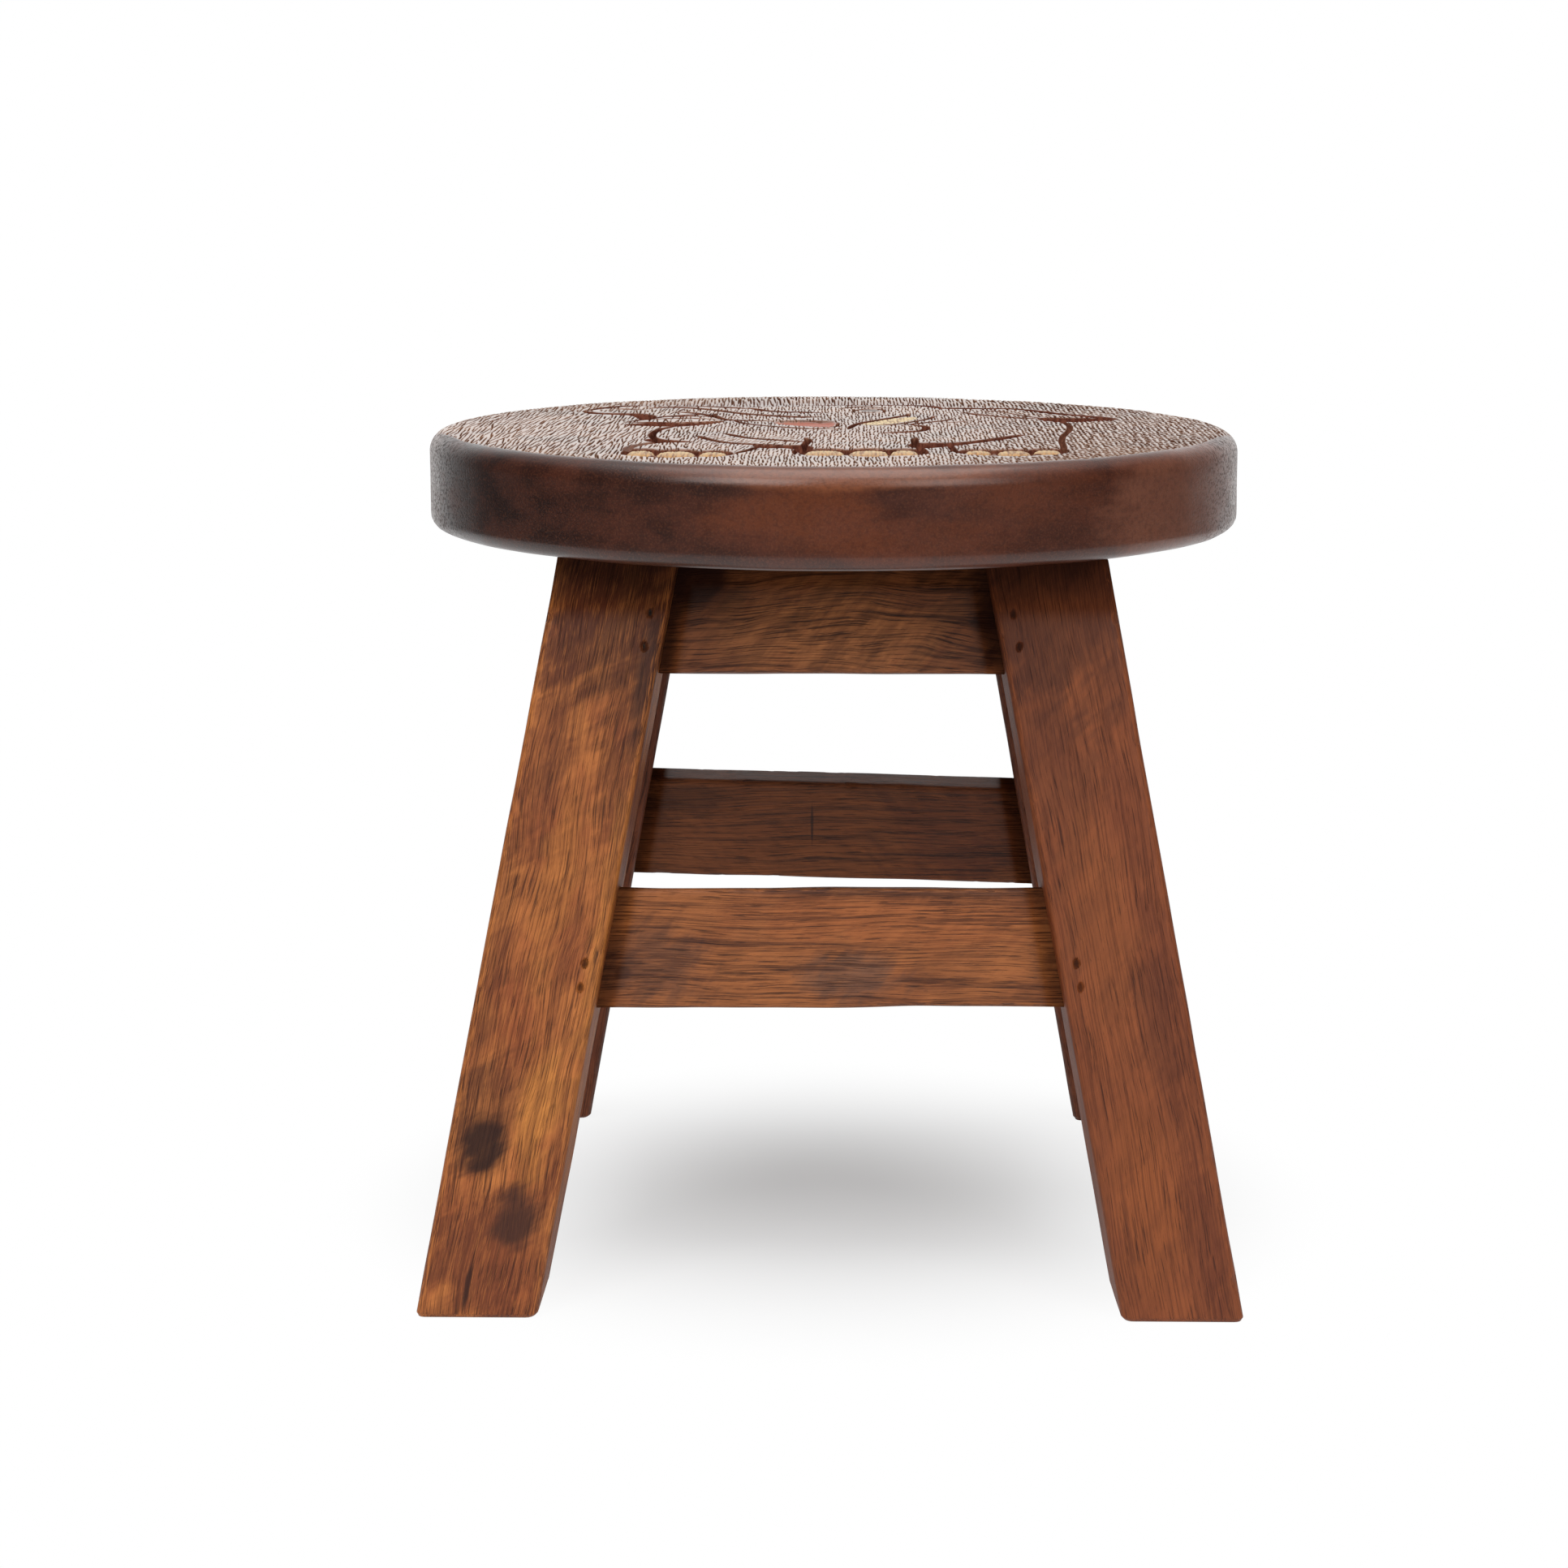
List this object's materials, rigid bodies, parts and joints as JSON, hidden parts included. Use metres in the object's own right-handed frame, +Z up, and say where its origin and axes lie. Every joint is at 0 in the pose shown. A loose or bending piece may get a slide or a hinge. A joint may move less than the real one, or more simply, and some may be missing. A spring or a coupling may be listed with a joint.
{
  "type": "carved stool",
  "caption": "Low round wooden stool with an elephant carved in the seat, splayed square legs, aprons and stretchers.",
  "frame": {"origin": "on the floor under the centre of the round seat", "axes": "+Z up; -Y is the front, where the carved elephant has its feet; +X to the right seen from the front"},
  "size_m": [0.255, 0.255, 0.253],
  "materials": {
    "seat_wood": "carved, stained and oiled, satin",
    "leg_wood": "stained and oiled, satin",
    "leg_wood_red": "stained and oiled, satin",
    "rail_wood": "stained and oiled, satin",
    "brad_steel": "dull, darkened",
    "screw_steel": "zinc plated, dull"
  },
  "bodies": {
    "root": {"seat_top": "seat_wood", "leg_front_left": "leg_wood", "leg_front_right": "leg_wood_red", "leg_back_left": "leg_wood_red", "leg_back_right": "leg_wood", "apron_front": "rail_wood", "apron_right": "rail_wood", "apron_back": "rail_wood", "apron_left": "rail_wood", "stretcher_front": "rail_wood", "stretcher_right": "rail_wood", "stretcher_back": "rail_wood", "stretcher_left": "rail_wood", "brads_front": "brad_steel", "brads_right": "brad_steel", "brads_back": "brad_steel", "brads_left": "brad_steel", "seat_screws": "screw_steel"}
  },
  "joints": []
}
